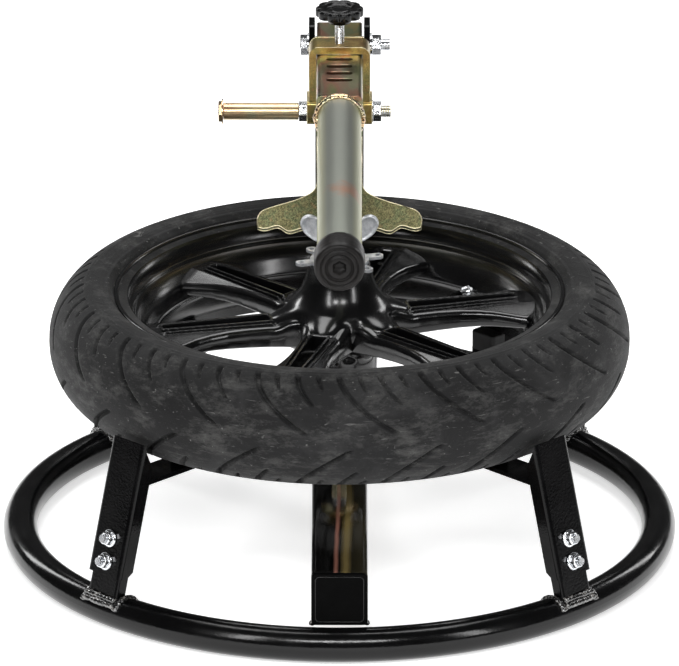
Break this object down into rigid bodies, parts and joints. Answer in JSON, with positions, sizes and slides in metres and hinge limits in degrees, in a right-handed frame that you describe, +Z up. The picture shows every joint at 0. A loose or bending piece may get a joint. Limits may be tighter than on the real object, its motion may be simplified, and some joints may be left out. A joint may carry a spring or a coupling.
{
  "type": "motorcycle tyre changing stand",
  "caption": "Round-based floor stand for changing motorcycle tyres: leaning legs, a long hinged bead-breaker lever with a sliding shoe, and a clamped wheel.",
  "frame": {"origin": "on the floor at the middle of the round base, on the centre shaft's axis", "axes": "+Z up; the lever's free end points to -Y, where the operator stands, and the rear post is on the +Y side; +X is to the operator's right"},
  "size_m": [0.6909, 0.7135, 0.4905],
  "materials": {
    "black_powder_coat": "gloss",
    "yellow_zinc": "satin, iridescent yellow passivated zinc plate",
    "bright_zinc": "bright zinc plate",
    "cast_alloy": "as cast, tumbled",
    "wheel_black": "satin",
    "tyre_rubber": "scuffed matt",
    "pad_rubber": "matt",
    "cap_rubber": "matt",
    "knob_plastic": "gloss",
    "cap_plastic": "semi matt",
    "bearing_steel": "ground"
  },
  "bodies": {
    "base": {"base_ring": "black_powder_coat", "cross_rail": "black_powder_coat", "rail_cap_front": "cap_plastic", "rail_cap_rear": "cap_plastic", "rear_post": "black_powder_coat", "ear_left": "black_powder_coat", "ear_right": "black_powder_coat", "shaft_collar": "black_powder_coat", "centre_shaft": "yellow_zinc", "height_nut": "bright_zinc", "lower_cone": "yellow_zinc", "leg_bolts": "bright_zinc", "leg_nuts": "bright_zinc", "pivot_bolt": "bright_zinc", "pivot_nut": "bright_zinc", "pivot_washers": "bright_zinc", "leg_front_left": "black_powder_coat", "leg_foot_front_left": "black_powder_coat", "rim_rest_front_left": "black_powder_coat", "rest_pad_front_left": "pad_rubber", "leg_front_right": "black_powder_coat", "leg_foot_front_right": "black_powder_coat", "rim_rest_front_right": "black_powder_coat", "rest_pad_front_right": "pad_rubber", "leg_rear_right": "black_powder_coat", "leg_foot_rear_right": "black_powder_coat", "rim_rest_rear_right": "black_powder_coat", "rest_pad_rear_right": "pad_rubber", "leg_rear_left": "black_powder_coat", "leg_foot_rear_left": "black_powder_coat", "rim_rest_rear_left": "black_powder_coat", "rest_pad_rear_left": "pad_rubber"},
    "lever": {"lever_tube": "yellow_zinc", "grip_tube": "yellow_zinc", "grip_cap": "cap_rubber", "pivot_sleeve": "yellow_zinc"},
    "yoke": {"yoke": "yellow_zinc", "cross_bolt": "yellow_zinc", "cross_collar": "bright_zinc", "cross_nut": "bright_zinc"},
    "peg": {"peg_sleeve": "yellow_zinc"},
    "shoe": {"shoe_plate": "yellow_zinc", "shoe_barrel": "yellow_zinc"},
    "clamp_tip": {"clamp_tip": "bright_zinc"},
    "clamp_screw": {"clamp_screw": "bright_zinc", "clamp_knob": "knob_plastic"},
    "wheel": {"wheel_rim": "wheel_black", "wheel_spider": "wheel_black", "tyre": "tyre_rubber", "bearing_upper": "bearing_steel", "bearing_lower": "bearing_steel", "bearing_spacer": "bearing_steel", "hub_ring": "cast_alloy", "valve_stem": "bright_zinc", "valve_cap": "cap_plastic"},
    "upper_cone": {"upper_cone": "cast_alloy"},
    "wing_nut": {"wing_nut": "cast_alloy"}
  },
  "joints": [
    {"name": "lever_lift", "type": "hinge", "parent": "base", "child": "lever", "pos_m": [0, 0.335, 0.42], "axis": [-1, 0, 0], "range_deg": [0, 75]},
    {"name": "yoke_slide", "type": "slide", "parent": "lever", "child": "yoke", "axis": [0, 1, 0], "range_m": [-0.065, 0.012]},
    {"name": "peg_spin", "type": "hinge", "parent": "yoke", "child": "peg", "pos_m": [-0.08, 0.254, 0.3755], "axis": [1, 0, 0], "continuous": true},
    {"name": "shoe_swing", "type": "hinge", "parent": "yoke", "child": "shoe", "pos_m": [0, 0.254, 0.3755], "axis": [-1, 0, 0], "range_deg": [-2.5, 40]},
    {"name": "clamp_travel", "type": "slide", "parent": "yoke", "child": "clamp_tip", "axis": [0, 0, 1], "range_m": [0, 0.008]},
    {"name": "clamp_turn", "type": "hinge", "parent": "clamp_tip", "child": "clamp_screw", "pos_m": [0, 0.254, 0.46], "axis": [0, 0, 1], "continuous": true},
    {"name": "wheel_spin", "type": "hinge", "parent": "base", "child": "wheel", "pos_m": [0, 0, 0.222], "axis": [0, 0, 1], "continuous": true},
    {"name": "nut_travel", "type": "slide", "parent": "base", "child": "upper_cone", "axis": [0, 0, 1], "range_m": [0, 0.006]},
    {"name": "nut_turn", "type": "hinge", "parent": "upper_cone", "child": "wing_nut", "pos_m": [0, 0, 0.33], "axis": [0, 0, 1], "continuous": true}
  ],
  "couplings": [
    {"joint": "clamp_turn", "follows": "clamp_travel", "rad_per_m": 4188.8},
    {"joint": "nut_turn", "follows": "nut_travel", "rad_per_m": 3141.6}
  ]
}
